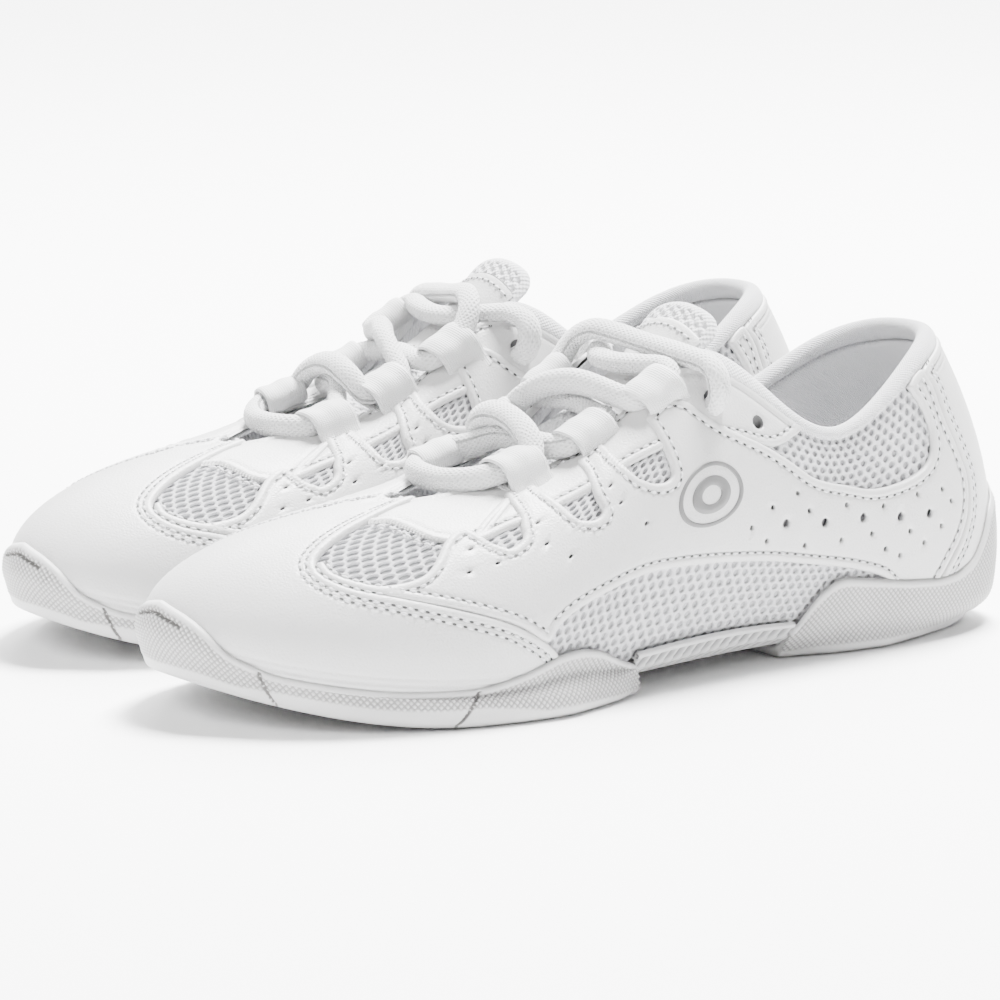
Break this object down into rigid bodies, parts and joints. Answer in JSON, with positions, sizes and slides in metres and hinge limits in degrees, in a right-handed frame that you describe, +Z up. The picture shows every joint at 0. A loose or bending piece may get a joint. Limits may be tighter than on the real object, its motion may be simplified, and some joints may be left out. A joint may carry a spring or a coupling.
{
  "type": "pair of cheer shoes",
  "caption": "Pair of low-cut white cheer shoes with a split rubber outsole, leather and mesh upper, ribbon lace loops, round lace and padded tongue.",
  "frame": {"origin": "middle of the pair's bounding box on the floor the shoes stand on", "axes": "+Z up, toes towards -Y, +X to the wearer's left, so the left shoe is on the +X side"},
  "size_m": [0.2028, 0.2748, 0.0976],
  "materials": {
    "rubber": "matte, finely knurled",
    "shank": "satin, ribbed",
    "foam": "matte closed-cell foam",
    "board": "matte fibre board",
    "sockliner": "matte knitted cover on foam",
    "lining": "matte woven textile",
    "mesh": "matte open mesh",
    "stiffener": "matte",
    "leather": "satin",
    "collar": "matte woven textile over foam",
    "ribbon": "satin",
    "lace": "soft woven",
    "tip": "gloss",
    "badge": "satin"
  },
  "bodies": {
    "left_shoe": {"left_outsole_forefoot": "rubber", "left_outsole_heel": "rubber", "left_arch_bridge": "shank", "left_forefoot_cushion": "foam", "left_heel_wedge": "foam", "left_lasting_board": "board", "left_sockliner": "sockliner", "left_vamp_lining": "lining", "left_collar_lining": "lining", "left_vamp_mesh": "mesh", "left_quarter_mesh_lateral": "mesh", "left_quarter_mesh_medial": "mesh", "left_toe_puff": "stiffener", "left_heel_counter": "stiffener", "left_toe_cap": "leather", "left_quarter_lateral": "leather", "left_quarter_medial": "leather", "left_eyestay_lateral": "leather", "left_eyestay_medial": "leather", "left_vamp_strip": "leather", "left_heel_stay": "leather", "left_collar_binding": "collar", "left_loops_lateral": "ribbon", "left_loops_medial": "ribbon", "left_lace": "lace", "left_aglets": "tip", "left_side_badge": "badge"},
    "left_tongue": {"left_tongue": "collar", "left_tongue_facing": "leather"},
    "right_shoe": {"right_outsole_forefoot": "rubber", "right_outsole_heel": "rubber", "right_arch_bridge": "shank", "right_forefoot_cushion": "foam", "right_heel_wedge": "foam", "right_lasting_board": "board", "right_sockliner": "sockliner", "right_vamp_lining": "lining", "right_collar_lining": "lining", "right_vamp_mesh": "mesh", "right_quarter_mesh_lateral": "mesh", "right_quarter_mesh_medial": "mesh", "right_toe_puff": "stiffener", "right_heel_counter": "stiffener", "right_toe_cap": "leather", "right_quarter_lateral": "leather", "right_quarter_medial": "leather", "right_eyestay_lateral": "leather", "right_eyestay_medial": "leather", "right_vamp_strip": "leather", "right_heel_stay": "leather", "right_collar_binding": "collar", "right_loops_lateral": "ribbon", "right_loops_medial": "ribbon", "right_lace": "lace", "right_aglets": "tip", "right_side_badge": "badge"},
    "right_tongue": {"right_tongue": "collar", "right_tongue_facing": "leather"}
  },
  "joints": [
    {"name": "left_tongue_flex", "type": "hinge", "parent": "left_shoe", "child": "left_tongue", "pos_m": [0.04877, -0.06, 0.046], "axis": [1, 0, 0], "range_deg": [-4, 0], "stiffness_Nm_per_rad": 0.5, "springref_deg": 1.72},
    {"name": "right_shoe_lift", "type": "slide", "parent": "left_shoe", "child": "right_shoe", "axis": [0, 0, 1], "range_m": [0, 0.25]},
    {"name": "right_tongue_flex", "type": "hinge", "parent": "right_shoe", "child": "right_tongue", "pos_m": [-0.04926, -0.05192, 0.046], "axis": [0.9986, -0.0523, 0], "range_deg": [-4, 0], "stiffness_Nm_per_rad": 0.5, "springref_deg": 1.72}
  ]
}
